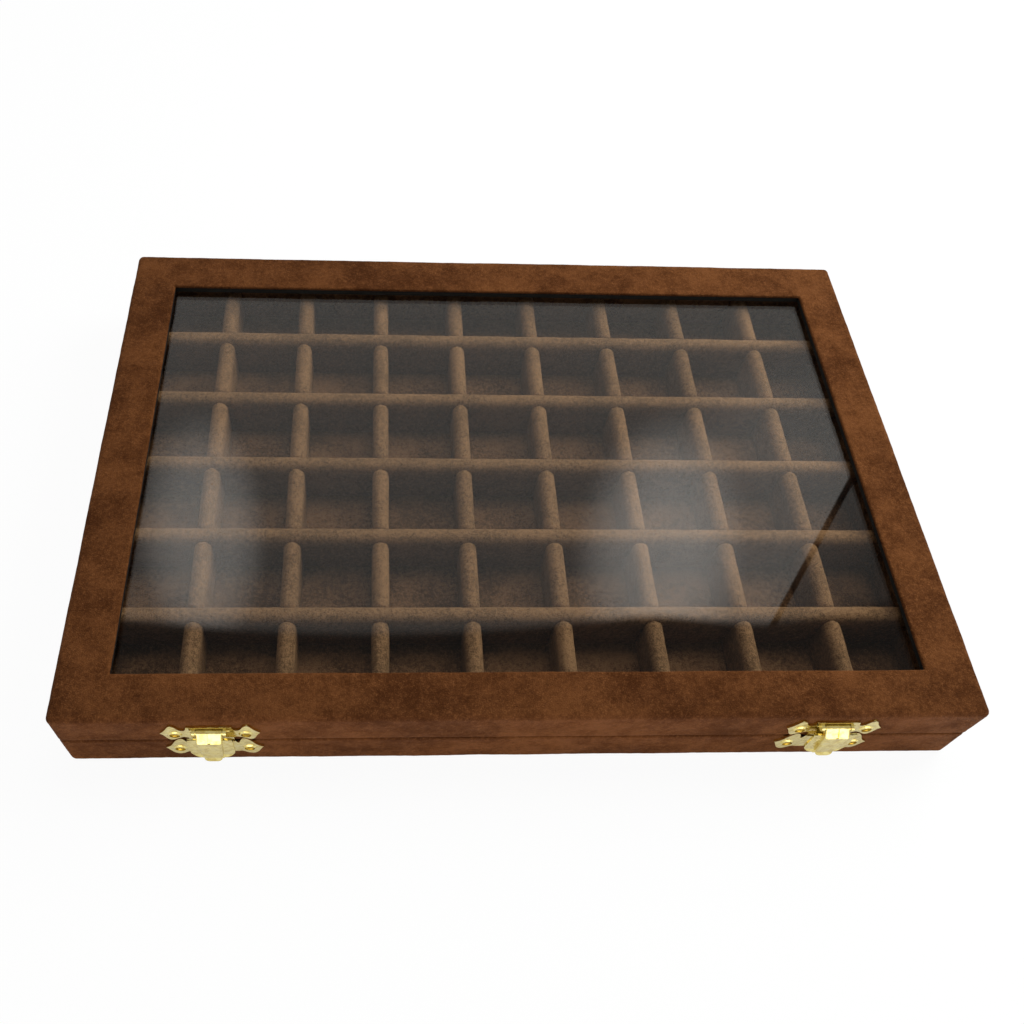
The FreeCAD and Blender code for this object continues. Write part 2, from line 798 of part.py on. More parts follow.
def latch_tongue():
    """The pressed tongue: a broad flap with a raised, hollow middle, a lip to pull and a bead to snap."""
    n = length_of
    shoulder = (n.shoulder_out, n.shoulder_height)
    crest = touching_line(latch_axis, knuckle_radius, shoulder)
    raised = [crest, shoulder, (n.front_out, n.front_height), (n.lip_out, n.lip_height)]
    low = inward(raised[1:], n.tongue_rise)
    flap = profile_prism(low + list(reversed(inward(low, n.tongue))), n.tongue_width / 2)
    boss = profile_prism(raised + list(reversed(inward(raised, n.tongue_rise + n.tongue))), n.boss_width / 2)
    boss = round_boss(boss.common(boss_outline(0)), raised)
    boss = round_lower_corners(boss, n.boss_tip_width / 2, n.boss_tip_radius)
    hollow_path = inward(raised, n.tongue)[1:3]
    hollow = profile_prism(hollow_path + [(0, n.front_height), (0, n.shoulder_height)], n.boss_width / 2)
    hollow = hollow.common(boss_outline(n.tongue))
    flap = round_lower_corners(flap, n.tongue_width / 2, n.tongue_corner_radius)
    shape = flap.fuse([boss, bar(knuckle_radius, latch_axis, n.boss_width / 2)]).cut(hollow)
    bead_out = n.front_out - n.tongue - n.bead_radius / 2
    bead = bar(n.bead_radius, point(0, n.bead_height, bead_out), n.boss_tip_width / 2)
    groove_path = raised[:2] + list(reversed(inward(raised[:2], n.groove_depth)))
    groove = profile_prism(groove_path, n.groove_width / 2)
    bore = bar(n.latch_pin_radius + n.pin_running_gap, latch_axis, ear_outer)
    return shape.fuse(bead).cut(groove).cut(bore).removeSplitter()


def add_latches():
    for side, sign in SIDES.items():
        x = sign * latch_spacing.value / 2
        pressed(f"latch_plate_{side}", latch_plate(), x)
        pressed(f"latch_pin_{side}", bar(length_of.latch_pin_radius, latch_axis, ear_outer), x)
        pressed(f"catch_plate_{side}", catch_plate(), x)
        pressed(f"latch_tongue_{side}", latch_tongue(), x)


def write_parts():
    """Checks every object of the document, then writes one file for each sub-part."""
    doc.recompute()
    failed = [obj.Label for obj in doc.Objects if {"Invalid", "Error"} & set(obj.State)]
    broken = [label for label, obj in parts.items() if obj.Shape.isNull() or not obj.Shape.isValid()]
    if failed or broken:
        raise RuntimeError(f"failed objects: {failed}, broken shapes: {broken}")
    os.makedirs("parts", exist_ok=True)
    for label, obj in parts.items():
        solids = obj.Shape.Solids
        shape = solids[0] if len(solids) == 1 else obj.Shape
        shape.exportStep(f"parts/{label}.step")
        print(label, len(solids), round(obj.Shape.Volume, 1))


add_base()
add_base_velvet()
add_collar()
add_long_dividers()
add_cross_dividers()
add_lid()
add_lid_ring()
add_lid_velvet()
add_hinges()
add_nails()
add_latches()
write_parts()
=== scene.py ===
import math

import bmesh
import bpy
import numpy as np
from mathutils import Matrix, Vector


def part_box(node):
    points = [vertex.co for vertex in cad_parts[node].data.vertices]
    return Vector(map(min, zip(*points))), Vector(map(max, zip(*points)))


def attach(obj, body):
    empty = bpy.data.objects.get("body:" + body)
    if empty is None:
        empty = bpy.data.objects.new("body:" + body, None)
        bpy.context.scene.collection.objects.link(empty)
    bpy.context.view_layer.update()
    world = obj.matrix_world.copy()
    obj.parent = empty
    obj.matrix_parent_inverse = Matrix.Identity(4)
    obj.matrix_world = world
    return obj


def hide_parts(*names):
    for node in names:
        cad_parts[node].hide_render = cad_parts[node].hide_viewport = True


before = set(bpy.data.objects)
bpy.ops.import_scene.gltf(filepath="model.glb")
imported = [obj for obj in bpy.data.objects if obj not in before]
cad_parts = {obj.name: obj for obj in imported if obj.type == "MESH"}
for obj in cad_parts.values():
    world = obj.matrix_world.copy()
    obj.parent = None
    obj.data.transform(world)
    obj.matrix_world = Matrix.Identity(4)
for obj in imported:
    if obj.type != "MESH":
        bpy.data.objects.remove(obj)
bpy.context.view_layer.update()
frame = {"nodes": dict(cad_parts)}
nodes = frame["nodes"]
scene = bpy.context.scene
scene.view_settings.view_transform = "Standard"

# The case in millimetres, as its solids have it
MM = 0.001
CASE_WIDTH = 350
CASE_DEPTH = 240
SEAM = 20
LID_TOP = 40
PILE = 1.2
CORNER_RADIUS = 2.5
CELL_FLOOR = 10
CELL_PITCH = 36.667
CELLS_WIDE = 324
CELLS_DEEP = 214
STRIP_WIDTH = 6


# Nodes as sums


class Value:
    """One output of a node. Sums on it add Math nodes."""

    def __init__(self, nodes, socket):
        self.nodes = nodes
        self.socket = socket

    def out(self, name):
        return Value(self.nodes, self.socket.node.outputs[name])

    def sum(self, operation, first, second):
        return self.nodes.node("ShaderNodeMath", {"operation": operation}, {0: first, 1: second})

    def __add__(self, other):
        return self.sum("ADD", self, other)

    def __sub__(self, other):
        return self.sum("SUBTRACT", self, other)

    def __rsub__(self, other):
        return self.sum("SUBTRACT", other, self)

    def __mul__(self, other):
        return self.sum("MULTIPLY", self, other)

    def __or__(self, other):
        """The larger of the two."""
        return self.sum("MAXIMUM", self, other)

    __radd__ = __add__
    __rmul__ = __mul__


class Nodes:
    """The nodes of one finish or of the room."""

    def __init__(self, tree):
        self.tree = tree
        tree.nodes.clear()

    def node(self, kind, settings=None, sockets=None, output=0):
        made = self.tree.nodes.new(kind)
        for name, setting in (settings or {}).items():
            setattr(made, name, setting)
        for name, value in (sockets or {}).items():
            if isinstance(value, Value):
                self.tree.links.new(value.socket, made.inputs[name])
            else:
                made.inputs[name].default_value = value
        return Value(self, made.outputs[output]) if len(made.outputs) else made

    def place(self):
        return self.node("ShaderNodeTexCoord").out("Object")

    def noise(self, place, scale, detail=2.0, roughness=0.5, distortion=0.0):
        """Soft lumps from 0 to 1, about this many to a metre."""
        sockets = {"Vector": place, "Scale": scale, "Detail": detail, "Roughness": roughness}
        return self.node("ShaderNodeTexNoise", {}, {**sockets, "Distortion": distortion})

    def swing(self, noise, amount):
        """A noise moved to swing about nothing, by this much."""
        return (noise - 0.5) * amount

    def stretched(self, place, scales):
        settings = {"operation": "MULTIPLY"}
        return self.node("ShaderNodeVectorMath", settings, {0: place, 1: scales})

    def ease(self, value, low, high, start=0.0, end=1.0):
        """Goes softly from start to end while the value goes from low to high."""
        settings = {"interpolation_type": "SMOOTHSTEP"}
        sockets = {"Value": value, "From Min": low, "From Max": high, "To Min": start, "To Max": end}
        return self.node("ShaderNodeMapRange", settings, sockets)

    def mix(self, factor, first, second, blend="MIX"):
        settings = {"data_type": "RGBA", "blend_type": blend}
        return self.node("ShaderNodeMix", settings, {0: factor, 6: first, 7: second}, output=2)

    def bump(self, height, depth, strength, under=None):
        """Relief of this depth in metres, on top of another relief if one is given."""
        sockets = {"Height": height, "Distance": depth, "Strength": strength}
        if under is not None:
            sockets["Normal"] = under
        return self.node("ShaderNodeBump", {}, sockets)

    def shade(self, surface):
        self.node("ShaderNodeOutputMaterial", {}, {"Surface": surface})


def finish(name):
    material = bpy.data.materials.new(name)
    material.use_nodes = True
    return material, Nodes(material.node_tree)


# The finishes

# Heights, in millimetres, between which painted light brightens the strips' velvet toward their tops
CREST_FROM = 24
CREST_TO = 30


def velvet(name, flat, brushed, glint, sheen, fuzz, crest_light=0.0):
    """Short pile: blotches where it lies flat or is brushed up, a fine grain, painted glints on its tips and
    painted light on the strips' crests.
    """
    material, n = finish(name)
    place = n.place()
    swathes = n.noise(place, scale=30, distortion=0.3)
    blotches = n.noise(place, scale=130, distortion=0.2)
    tufts = n.noise(place, scale=620, detail=3, roughness=0.65)
    grain = n.noise(place, scale=2100, roughness=0.6)
    loose = n.swing(tufts, 0.9) + n.swing(grain, 0.8)
    brushing = n.swing(swathes, 1.25) + 0.5 + n.swing(blotches, 0.8) + loose * fuzz
    colour = n.mix(n.ease(brushing, 0.05, 0.95), flat, brushed)
    # Painted highlight: random pile tips are lightened toward the glint colour, as glints where they catch the
    # light
    tip_glints = n.ease(grain + n.swing(tufts, 0.5), 0.5, 0.78, end=0.19)
    height = n.node("ShaderNodeSeparateXYZ", {}, {0: place}).out("Z")
    # Painted light: near their tops the strips are lightened toward the glint colour, as if the tops caught more
    # light than the cells below; a grain pattern breaks it up
    crest_light_paint = n.ease(height, CREST_FROM * MM, CREST_TO * MM, end=crest_light)
    crest_light_paint = crest_light_paint * n.ease(grain * 0.6 + tufts * 0.4, 0.36, 0.64, start=0.35, end=1.65)
    colour = n.mix(tip_glints | crest_light_paint, colour, glint)
    relief = n.bump(tufts + blotches * 0.6, depth=0.0009, strength=0.35)
    relief = n.bump(grain, depth=0.0005, strength=0.7, under=relief)
    shader = n.node(
        "ShaderNodeBsdfPrincipled",
        {},
        {
            "Base Color": colour,
            "Roughness": n.ease(blotches, 0.3, 0.7, start=0.98, end=0.84),
            "Specular IOR Level": 0.12,
            "Sheen Weight": sheen,
            "Sheen Roughness": 0.38,
            "Sheen Tint": glint,
            "Normal": relief,
        },
    )
    n.shade(shader)
    return material


def brass(name, bright, dull):
    """Thin bright plating over pressed sheet: yellow, with faint waves, duller spots and fine rubbing."""
    material, n = finish(name)
    place = n.place()
    waves = n.noise(place, scale=260)
    rubbing = n.noise(n.stretched(place, (900, 2600, 2600)), scale=1.0, detail=3, roughness=0.6)
    dulling = n.noise(place, scale=420, detail=4, roughness=0.65)
    colour = n.mix(n.ease(dulling, 0.38, 0.7), bright, dull)
    relief = n.bump(waves, depth=0.0012, strength=0.3)
    relief = n.bump(rubbing, depth=0.00008, strength=0.2, under=relief)
    shader = n.node(
        "ShaderNodeBsdfPrincipled",
        {},
        {
            "Base Color": colour,
            "Metallic": 1.0,
            "Roughness": n.ease(dulling + n.swing(rubbing, 0.3), 0.3, 0.75, start=0.1, end=0.2),
            "Normal": relief,
        },
    )
    n.shade(shader)
    return material


def pane_glass():
    """Clear float glass that lets the light of the room into the cells."""
    clean = (0.965, 0.98, 0.972, 1)
    smeared = (0.95, 0.968, 0.96, 1)
    material, n = finish("pane_glass")
    path = n.node("ShaderNodeLightPath")
    smears = n.noise(n.place(), scale=26, detail=3, roughness=0.6, distortion=0.5)
    glass = n.node(
        "ShaderNodeBsdfPrincipled",
        {},
        {
            "Base Color": n.mix(n.ease(smears, 0.4, 0.75), clean, smeared),
            "Roughness": 0.0,
            "IOR": 1.5,
            "Transmission Weight": 1.0,
        },
    )
    clear = n.node("ShaderNodeBsdfTransparent", {}, {"Color": (0.93, 0.95, 0.94, 1)})
    through = path.out("Is Shadow Ray") | path.out("Is Diffuse Ray")
    n.shade(n.node("ShaderNodeMixShader", {}, {0: through, 1: glass, 2: clear}))
    return material


def dark_board(name, deep, worn):
    """Card or board coloured black, a little greyer where its fibres stand up."""
    material, n = finish(name)
    place = n.place()
    fibres = n.noise(n.stretched(place, (1, 1, 3)), scale=900, detail=4, roughness=0.7)
    clouds = n.noise(place, scale=120, detail=3)
    shader = n.node(
        "ShaderNodeBsdfPrincipled",
        {},
        {
            "Base Color": n.mix(n.ease(fibres * 0.7 + clouds * 0.3, 0.4, 0.75), deep, worn),
            "Roughness": n.ease(clouds, 0.3, 0.7, start=0.72, end=0.9),
            "Specular IOR Level": 0.2,
            "Normal": n.bump(fibres, depth=0.0002, strength=0.5),
        },
    )
    n.shade(shader)
    return material


def fibreboard():
    """Raw pressed board: tan, flecked with darker fibres."""
    light_tan = (0.36, 0.25, 0.15, 1)
    dark_tan = (0.28, 0.19, 0.11, 1)
    fleck = (0.14, 0.085, 0.045, 1)
    material, n = finish("fibreboard")
    place = n.place()
    flecks = n.noise(n.stretched(place, (1, 1, 2.5)), scale=700, detail=4, roughness=0.7, distortion=0.3)
    clouds = n.noise(place, scale=60, detail=3)
    tan = n.mix(n.ease(clouds, 0.3, 0.7), light_tan, dark_tan)
    shader = n.node(
        "ShaderNodeBsdfPrincipled",
        {},
        {
            "Base Color": n.mix(n.ease(flecks, 0.55, 0.75), tan, fleck),
            "Roughness": n.ease(flecks, 0.3, 0.7, start=0.75, end=0.92),
            "Specular IOR Level": 0.25,
            "Normal": n.bump(flecks, depth=0.0003, strength=0.5),
        },
    )
    n.shade(shader)
    return material


def felt():
    """Dark pressed felt: matted fibres with no nap."""
    deep = (0.03, 0.014, 0.008, 1)
    light = (0.075, 0.038, 0.02, 1)
    material, n = finish("underside_felt")
    place = n.place()
    matting = n.noise(place, scale=800, detail=5, roughness=0.7, distortion=1.2)
    clouds = n.noise(place, scale=70, detail=3)
    shader = n.node(
        "ShaderNodeBsdfPrincipled",
        {},
        {
            "Base Color": n.mix(n.ease(matting * 0.7 + clouds * 0.3, 0.35, 0.7), deep, light),
            "Roughness": n.ease(matting, 0.3, 0.7, start=0.9, end=1.0),
            "Specular IOR Level": 0.1,
            "Normal": n.bump(matting, depth=0.0006, strength=0.7),
        },
    )
    n.shade(shader)
    return material


# Making soft pieces


def add_piece(name, mesh, material):
    piece = bpy.data.objects.new(name, mesh)
    scene.collection.objects.link(piece)
    mesh.materials.clear()
    mesh.materials.append(material)
    for face in mesh.polygons:
        face.use_smooth = True
    return piece


def lumps(size):
    """A cloud pattern whose bumps are about this many millimetres across."""
    pattern = bpy.data.textures.new(f"lumps_{size}", "CLOUDS")
    pattern.noise_scale = size * MM
    pattern.noise_depth = 1
    return pattern


TUFT_LUMPS = lumps(3.2)
CLOTH_LUMPS = lumps(24)


def ruffle(piece, pattern, depth, group=""):
    """Lifts and sinks a piece's skin by a cloud pattern, this many millimetres in all."""
    swell = piece.modifiers.new(pattern.name, "DISPLACE")
    swell.texture = pattern
    swell.strength = depth * MM
    swell.mid_level = 0.5
    swell.vertex_group = group


def settle(piece):
    """Makes what the piece's modifiers show its own mesh."""
    bpy.context.view_layer.update()
    shown = piece.evaluated_get(bpy.context.evaluated_depsgraph_get())
    mesh = bpy.data.meshes.new_from_object(shown)
    piece.modifiers.clear()
    piece.data = mesh
    for face in mesh.polygons:
        face.use_smooth = True
    return piece


def stand_for(piece, body, slot, *replaced):
    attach(piece, body)
    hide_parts(*replaced)
    return piece


# The wrapped skins of the lid and the base: one side view, carried round the case

LONG_STEPS = 290
SHORT_STEPS = 198
CORNER_STEPS = 6
BEND_STEPS = 5

# Lengths of the side view in millimetres, and insets from the sides of the case
RUN_STEP = 1.3
LEAST_RADIUS = 0.5
SAME_POINT = 0.01
SEAM_GAP = 0.2
SEAM_BEND = 1.5
LIP = 0.35

# From this inset on, a line round the case moves over to the window, which is narrower and lies forward
WINDOW_FROM = 12
WINDOW_OVER = 7
WINDOW_NARROWING = 0.4
WINDOW_FORWARD = 1.35

# The pile is bare beside the seam and reaches its full relief this far from it
SEAM_BARE = 0.5
PILE_FULL = 3


def way_round(inset):
    """The points of a line round the case that keeps an inset from its sides."""
    radius = max(CORNER_RADIUS - inset, LEAST_RADIUS)
    toward_window = min(max(inset - WINDOW_FROM, 0) / WINDOW_OVER, 1)
    narrowing = WINDOW_NARROWING * toward_window
    forward = WINDOW_FORWARD * toward_window
    reach = np.array((CASE_WIDTH / 2 - inset - radius - narrowing, CASE_DEPTH / 2 - inset - radius))
    sides = [((1, 1), LONG_STEPS), ((-1, 1), SHORT_STEPS), ((-1, -1), LONG_STEPS), ((1, -1), SHORT_STEPS)]
    points = []
    for quarter, (signs, steps) in enumerate(sides):
        angles = np.radians(90 * quarter + np.linspace(0, 90, CORNER_STEPS + 1))
        arc = reach * signs + radius * np.stack((np.cos(angles), np.sin(angles)), axis=1)
        turned = math.radians(90 * quarter + 90)
        next_signs = sides[(quarter + 1) % 4][0]
        ahead = reach * next_signs + radius * np.array((math.cos(turned), math.sin(turned)))
        shares = np.linspace(0, 1, steps + 1)[1:-1, None]
        points += [arc, arc[-1] + shares * (ahead - arc[-1])]
    return np.concatenate(points) - (0, forward)


def bend(centre, radius, start, end):
    """An arc of a side view, as (inset, height) points."""
    angles = np.radians(np.linspace(start, end, BEND_STEPS + 1))
    return [(centre[0] + radius * math.cos(a), centre[1] + radius * math.sin(a)) for a in angles]


def run(start, end):
    """A straight part of a side view, as (inset, height) points."""
    count = max(1, round(math.dist(start, end) / RUN_STEP))
    first, way = np.array(start), np.array(end) - np.array(start)
    return [tuple(first + way * i / count) for i in range(count + 1)]


def wrapped_skin(name, outside, inside, material):
    """A closed skin from its outside, which carries pile, and its glued inside."""
    side_view = []
    for point in outside + inside:
        if not side_view or math.dist(point, side_view[-1]) > SAME_POINT:
            side_view.append(point)
    rings = []
    for inset, height in side_view:
        line = way_round(inset)
        rings.append(np.column_stack((line, np.full(len(line), height))))
    count = len(rings[0])
    faces = []
    for i in range(len(rings)):
        low, high = i * count, (i + 1) % len(rings) * count
        faces += [(low + j, low + (j + 1) % count, high + (j + 1) % count, high + j) for j in range(count)]
    mesh = bpy.data.meshes.new(name)
    mesh.from_pydata((np.concatenate(rings) * MM).tolist(), [], faces)
    shell = bmesh.new()
    shell.from_mesh(mesh)
    bmesh.ops.recalc_face_normals(shell, faces=shell.faces)
    shell.to_mesh(mesh)
    shell.free()
    piece = add_piece(name, mesh, material)
    pile = piece.vertex_groups.new(name="pile")
    glued = {tuple(point) for point in inside}
    for i, point in enumerate(side_view):
        away = abs(point[1] - SEAM)
        if tuple(point) not in glued and away > SEAM_BARE:
            pile.add(list(range(i * count, (i + 1) * count)), min(1.0, away / PILE_FULL), "REPLACE")
    ruffle(piece, CLOTH_LUMPS, depth=0.35, group="pile")
    ruffle(piece, TUFT_LUMPS, depth=0.16, group="pile")
    return settle(piece)


def lid_skin(material):
    """From the fold under the lid's rim, up its sides and over its top to the window."""
    sunk = 0.1
    fold, fold_end = 6.2, 6.6
    top_bend = 2.2
    window_edge, window_bend, window_glue = 18.9, 1.0, 19.85
    seam = SEAM + SEAM_GAP
    top = LID_TOP - sunk
    outside = (
        run((fold, seam), (SEAM_BEND, seam))
        + bend((SEAM_BEND, seam + SEAM_BEND), SEAM_BEND, 270, 180)
        + run((0, seam + SEAM_BEND), (0, top - top_bend))
        + bend((top_bend, top - top_bend), top_bend, 180, 90)
        + run((top_bend, top), (window_edge, top))
        + bend((window_edge, top - window_bend), window_bend, 90, 0)
    )
    inside = [
        (window_glue, LID_TOP - PILE - sunk),
        (PILE, LID_TOP - PILE),
        (PILE, SEAM + PILE),
        (fold_end, SEAM + PILE),
        (fold_end, seam + LIP),
    ]
    return wrapped_skin("lid_skin", outside, inside, material)


def base_skin(material):
    """From the fold over the base's rim, down its sides and under its bottom."""
    foot = 0.25
    fold, fold_end = 8.1, 8.5
    foot_bend = 1.0
    under_end, under_pile, corner_pile = 11.9, 1.1, 1.15
    seam = SEAM - SEAM_GAP
    outside = (
        run((fold, seam), (SEAM_BEND, seam))
        + bend((SEAM_BEND, seam - SEAM_BEND), SEAM_BEND, 90, 180)
        + run((0, seam - SEAM_BEND), (0, foot + foot_bend))
        + bend((foot_bend, foot + foot_bend), foot_bend, 180, 270)
        + run((foot_bend, foot), (under_end, foot))
    )
    inside = [
        (under_end, foot + under_pile),
        (PILE, foot + corner_pile),
        (PILE, SEAM - PILE),
        (fold_end, SEAM - PILE),
        (fold_end, seam - LIP),
    ]
    return wrapped_skin("base_skin", outside, inside, material)


# The insert, with lengths in millimetres

STRIP_PILE = 0.6
STRIP_GRID = 1.1
PAD_GRID = 1.5
PAD_BOTTOM = 4.5
PAD_SUNK = 0.25
PAD_SWELL = 0.4
PAD_ROUNDING = 0.6
FELT_GRID = (82, 54)
FELT_PRESSED = 0.1


def covered_strip(node, name, material, pile=0.0):
    """A strip of the insert with its velvet on: an even skin, rubbed round at its edges, and its standing pile."""
    piece = add_piece(name, nodes[node].data.copy(), material)
    skin = piece.modifiers.new("skin", "REMESH")
    skin.mode = "VOXEL"
    skin.voxel_size = STRIP_GRID * MM
    rub = piece.modifiers.new("rub", "SMOOTH")
    rub.factor = 0.5
    rub.iterations = 3
    standing = piece.modifiers.new("standing", "DISPLACE")
    standing.strength = pile * MM
    standing.mid_level = 0.0
    ruffle(piece, CLOTH_LUMPS, depth=0.3)
    ruffle(piece, TUFT_LUMPS, depth=0.22)
    # The pile makes the strip wider; its top keeps its height
    settle(piece).data.transform(Matrix.Translation((0, 0, -pile * MM)))
    return piece


def floor_pad(material):
    """Velvet over foam: it swells a little in each cell, between the strips that press on it."""
    across = np.arange(-CELLS_WIDE / 2, CELLS_WIDE / 2 + PAD_GRID / 2, PAD_GRID)
    along = np.linspace(-CELLS_DEEP / 2, CELLS_DEEP / 2, round(CELLS_DEEP / PAD_GRID) + 1)
    x, y = np.meshgrid(across, along)
    swell_across = np.sin(np.pi * (x + CELLS_WIDE / 2 + STRIP_WIDTH / 2) / CELL_PITCH)
    swell_along = np.sin(np.pi * (y + CELLS_DEEP / 2 + STRIP_WIDTH / 2) / CELL_PITCH)
    z = CELL_FLOOR - PAD_SUNK + PAD_SWELL * np.abs(swell_across * swell_along) ** PAD_ROUNDING
    top = np.column_stack((x.ravel(), y.ravel(), z.ravel()))
    wide, deep = len(across), len(along)
    faces = []
    for j in range(deep - 1):
        row, above = j * wide, (j + 1) * wide
        faces += [(row + i, row + i + 1, above + i + 1, above + i) for i in range(wide - 1)]
    rim = list(range(wide)) + [j * wide + wide - 1 for j in range(1, deep)]
    rim += [(deep - 1) * wide + i for i in range(wide - 2, -1, -1)] + [j * wide for j in range(deep - 2, 0, -1)]
    under = len(top)
    bottom = np.column_stack((top[rim, :2], np.full(len(rim), PAD_BOTTOM)))
    for k in range(len(rim)):
        after = (k + 1) % len(rim)
        faces.append((rim[k], under + k, under + after, rim[after]))
    faces.append(tuple(under + k for k in reversed(range(len(rim)))))
    mesh = bpy.data.meshes.new("floor_pad")
    mesh.from_pydata((np.concatenate((top, bottom)) * MM).tolist(), [], faces)
    piece = add_piece("floor_pad", mesh, material)
    pile = piece.vertex_groups.new(name="pile")
    pile.add(list(range(under)), 1.0, "REPLACE")
    ruffle(piece, CLOTH_LUMPS, depth=0.25, group="pile")
    ruffle(piece, TUFT_LUMPS, depth=0.16, group="pile")
    return settle(piece)


def felt_sheet(material):
    """The sheet glued under the case, pressed a little thinner than its solid."""
    low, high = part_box("bottom_sheet")
    sheet = bmesh.new()
    bmesh.ops.create_grid(sheet, x_segments=FELT_GRID[0], y_segments=FELT_GRID[1], size=0.5)
    for corner in sheet.verts:
        corner.co.x *= high.x - low.x
        corner.co.y *= high.y - low.y
        corner.co.z = low.z
    lifted = bmesh.ops.extrude_face_region(sheet, geom=sheet.faces[:])
    for part in lifted["geom"]:
        if isinstance(part, bmesh.types.BMVert):
            part.co.z = high.z - FELT_PRESSED * MM
    bmesh.ops.recalc_face_normals(sheet, faces=sheet.faces)
    mesh = bpy.data.meshes.new("underside_felt")
    sheet.to_mesh(mesh)
    sheet.free()
    return add_piece("underside_felt", mesh, material)


# The room, in metres

EYE_PLACE = (-0.05788, -0.25154, 0.38451)
EYE_ACROSS = Vector((0.9984, -0.0266, 0.0495))
EYE_UP = Vector((-0.0067, 0.8183, 0.5748))
PAPER_REACH = 4
PAPER_DROP = 0.0003

# What the pane and the brass mirror, placed by the direction toward it
LEFT_PATCH = {"across_at": -0.168, "back_at": 0.51, "wide": 0.066, "tall": 0.11, "strength": 1.0}
RIGHT_PATCH = {"across_at": 0.28, "back_at": 0.485, "wide": 0.085, "tall": 0.12, "strength": 1.1}
RIGHT_HAZE = {"across_at": 0.36, "back_at": 0.5, "wide": 0.14, "tall": 0.13, "strength": 0.4}
CORNER_FACING = (0.8044, -0.589, -0.0779)
SIDE_WALL_LEVEL = 0.42
CORNER_LINE_LEVEL = 0.05
WINDOW_LEVEL = 1.8
EVEN_LIGHT = 0.25
WHITE = (1, 1, 1, 1)
WARM_WHITE = (1, 0.97, 0.92, 1)


def stand_camera():
    """In front of the case and a little left of its middle, looking down on the lid."""
    eye = bpy.data.objects.new("eye", bpy.data.cameras.new("eye"))
    scene.collection.objects.link(eye)
    turn = Matrix((EYE_ACROSS, EYE_UP, EYE_ACROSS.cross(EYE_UP))).transposed()
    eye.matrix_world = Matrix.Translation(EYE_PLACE) @ turn.to_4x4()
    eye.data.sensor_width = 36
    eye.data.lens = 34.62
    eye.data.shift_x = 0.0809
    eye.data.shift_y = -0.0408
    eye.data.clip_start = 0.01
    scene.camera = eye


def light_room():
    """An even light, and a room to mirror: a wall with lighter patches behind the case, its corner with the side
    wall, a dark beam over the front edge, and a window in front."""
    world = bpy.data.worlds.new("room")
    scene.world = world
    world.use_nodes = True
    n = Nodes(world.node_tree)
    path = n.node("ShaderNodeLightPath")
    toward = n.node("ShaderNodeTexCoord").out("Generated")
    across = n.node("ShaderNodeSeparateXYZ", {}, {0: toward})
    back = across.out("Y")
    up = across.out("Z")

    def glow(across_at, back_at, wide, tall, strength):
        aside = (across - across_at) * (1 / wide)
        along = (back - back_at) * (1 / tall)
        return n.ease(aside * aside + along * along, 0.0, 1.0, start=strength, end=0.0)

    wall = n.ease(up, 0.68, 0.78, start=0.56, end=0.46) * n.ease(up, 0.81, 0.89, start=1.0, end=0.8)
    wall = wall + glow(**LEFT_PATCH) + glow(**RIGHT_PATCH) + glow(**RIGHT_HAZE)
    facing = {0: toward, 1: CORNER_FACING}
    corner = n.node("ShaderNodeVectorMath", {"operation": "DOT_PRODUCT"}, facing).out("Value")
    side_wall = n.ease(corner, -0.001, 0.002, start=1.0, end=SIDE_WALL_LEVEL)
    corner_line = n.ease(corner * corner, 0.000002, 0.000014, start=CORNER_LINE_LEVEL, end=1.0)
    wall = wall * side_wall * corner_line
    beam = n.ease(back, 0.31, 0.335, start=0.5, end=0.08)
    behind = n.ease(back + n.ease(across, 0.25, 0.4, end=0.026), 0.428, 0.439)
    overhead = n.ease(up, 0.4, 0.6)
    window = n.ease(back, -0.7, -0.88, end=WINDOW_LEVEL) * n.ease(up, 0.5, 0.36)
    mirrored = (wall * behind + beam * (1 - behind)) * overhead + (1 - overhead) + window
    lit = path.out("Is Diffuse Ray") * EVEN_LIGHT
    mirroring = path.out("Is Glossy Ray") | path.out("Is Transmission Ray")
    level = path.out("Is Camera Ray") + mirroring * mirrored
    tone = n.mix(path.out("Is Camera Ray"), WARM_WHITE, WHITE)
    shine = n.node("ShaderNodeBackground", {}, {"Color": n.mix(1.0, tone, level | lit, "MULTIPLY")})
    n.node("ShaderNodeOutputWorld", {}, {"Surface": shine})


def hang_lamp(name, place, aim, wide, tall, power, colour=(1, 1, 1)):
    lamp = bpy.data.objects.new(name, bpy.data.lights.new(name, "AREA"))
    scene.collection.objects.link(lamp)
    lamp.data.shape = "RECTANGLE"
    lamp.data.size = wide
    lamp.data.size_y = tall
    lamp.data.energy = power
    lamp.data.color = colour
    lamp.location = place
    lamp.rotation_euler = (Vector(aim) - Vector(place)).to_track_quat("-Z", "Y").to_euler()
    lamp.visible_glossy = False
    lamp.visible_transmission = False
    lamp.visible_camera = False


def lay_floor():
    """White paper under the case, seen nearly white and mirrored half as bright."""
    dull = (0.94, 0.94, 0.94, 1)
    bright = (0.96, 0.96, 0.96, 1)
    mirrored_share = 0.5
    white_share = 0.95
    material, n = finish("white_paper")
    path = n.node("ShaderNodeLightPath")
    seen = path.out("Is Camera Ray") | path.out("Is Transmission Ray") | path.out("Is Glossy Ray") * mirrored_share
    grain = n.noise(n.place(), scale=90, detail=3)
    paper = n.node("ShaderNodeBsdfDiffuse", {}, {"Color": n.mix(grain, dull, bright)})
    white = n.node("ShaderNodeEmission", {}, {"Color": WHITE, "Strength": 1.0})
    n.shade(n.node("ShaderNodeMixShader", {}, {0: seen * white_share, 1: paper, 2: white}))
    signs = ((-1, -1), (1, -1), (1, 1), (-1, 1))
    corners = [(x * PAPER_REACH, y * PAPER_REACH, -PAPER_DROP) for x, y in signs]
    mesh = bpy.data.meshes.new("paper")
    mesh.from_pydata(corners, [], [(0, 1, 2, 3)])
    add_piece("paper", mesh, material)


# Putting it together

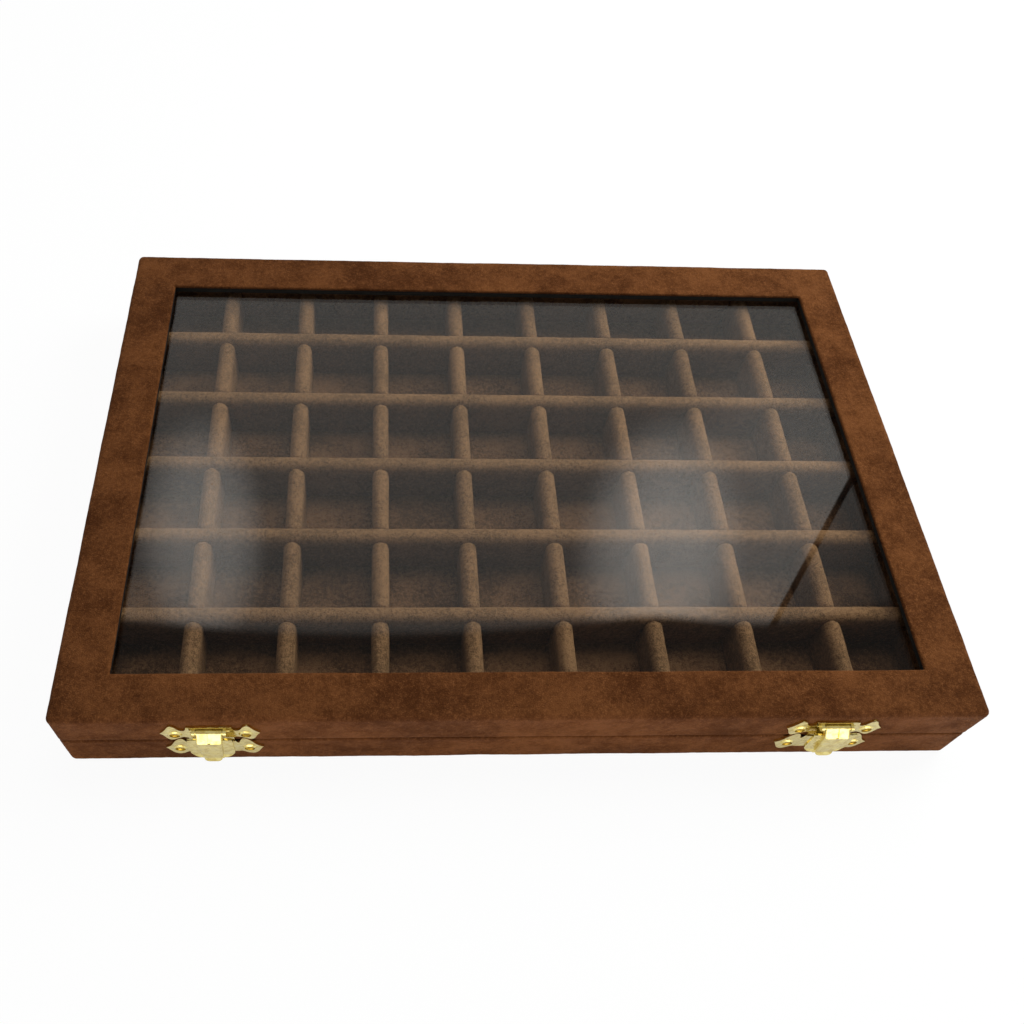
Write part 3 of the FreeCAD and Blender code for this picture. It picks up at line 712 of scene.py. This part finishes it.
outer_velvet = velvet(
    "outer_velvet",
    flat=(0.05, 0.0155, 0.0045, 1),
    brushed=(0.13, 0.0455, 0.0142, 1),
    glint=(0.3, 0.125, 0.048, 1),
    sheen=0.25,
    fuzz=1.0,
)
lining_velvet = velvet(
    "lining_velvet",
    flat=(0.056, 0.0255, 0.0115, 1),
    brushed=(0.165, 0.08, 0.038, 1),
    glint=(0.4, 0.22, 0.108, 1),
    sheen=0.3,
    fuzz=1.7,
    # Painted light on the strips' tops, up to this share of the glint colour
    crest_light=0.18,
)

lid_cloth = stand_for(lid_skin(outer_velvet), "lid", "velvet_outer", "lid_velvet")
base_cloth = stand_for(base_skin(outer_velvet), "base", "velvet_outer", "base_velvet")

for row in range(1, 6):
    strip = covered_strip(f"long_divider_{row}", f"row_strip_{row}", lining_velvet, STRIP_PILE)
    stand_for(strip, "base", "velvet_lining", f"long_divider_{row}")
for column in range(1, 9):
    strip = covered_strip(f"cross_divider_{column}", f"column_strip_{column}", lining_velvet, STRIP_PILE)
    stand_for(strip, "base", "velvet_lining", f"cross_divider_{column}")
for side in ("front", "back", "left", "right"):
    strip = covered_strip(f"collar_{side}", f"collar_strip_{side}", lining_velvet)
    stand_for(strip, "base", "velvet_lining", f"collar_{side}")
pad = stand_for(floor_pad(lining_velvet), "base", "velvet_lining", "floor_lining", "floor_foam")
sheet = stand_for(felt_sheet(felt()), "base", "felt", "bottom_sheet")

# By how the names of the solids start; the nails come after the rest of the brass, because theirs start the same
FINISHES = {
    ("hinge_", "latch_", "catch_"): brass("brass_plating", (0.84, 0.72, 0.29, 1), (0.66, 0.5, 0.15, 1)),
    # The nails get a darker copy of the brass: painted shade for the dim hollows round their heads
    ("hinge_lid_nails", "hinge_base_nails", "latch_plate_nails", "catch_plate_nails"): brass(
        "nail_brass_painted_shade", (0.56, 0.43, 0.15, 1), (0.42, 0.3, 0.09, 1)
    ),
    ("glass_pane",): pane_glass(),
    ("glass_retainer",): dark_board("black_card", (0.008, 0.0075, 0.007, 1), (0.02, 0.018, 0.016, 1)),
    # The lid ring's boards are made black, and their inner edges give the dark band along the window's edge
    ("lid_ring",): dark_board("black_ring_board", (0.006, 0.0055, 0.005, 1), (0.016, 0.013, 0.011, 1)),
    ("lid_wall", "base_wall", "bottom_board"): fibreboard(),
}
for starts, material in FINISHES.items():
    for name, node in nodes.items():
        if name.startswith(starts):
            node.data.materials.clear()
            node.data.materials.append(material)

stand_camera()
light_room()
hang_lamp("key_light", (0.6, 0.35, 0.55), (0, 0, 0.03), wide=0.6, tall=0.6, power=9.2, colour=(0.93, 1, 0.98))
hang_lamp("top_light", (0.05, 0.24, 1.05), (0, 0.02, 0), wide=0.5, tall=0.4, power=3.8)
hang_lamp("front_light", (0, -0.8, 0.02), (0, 0, 0.02), wide=1.2, tall=0.03, power=4.2)
lay_floor()
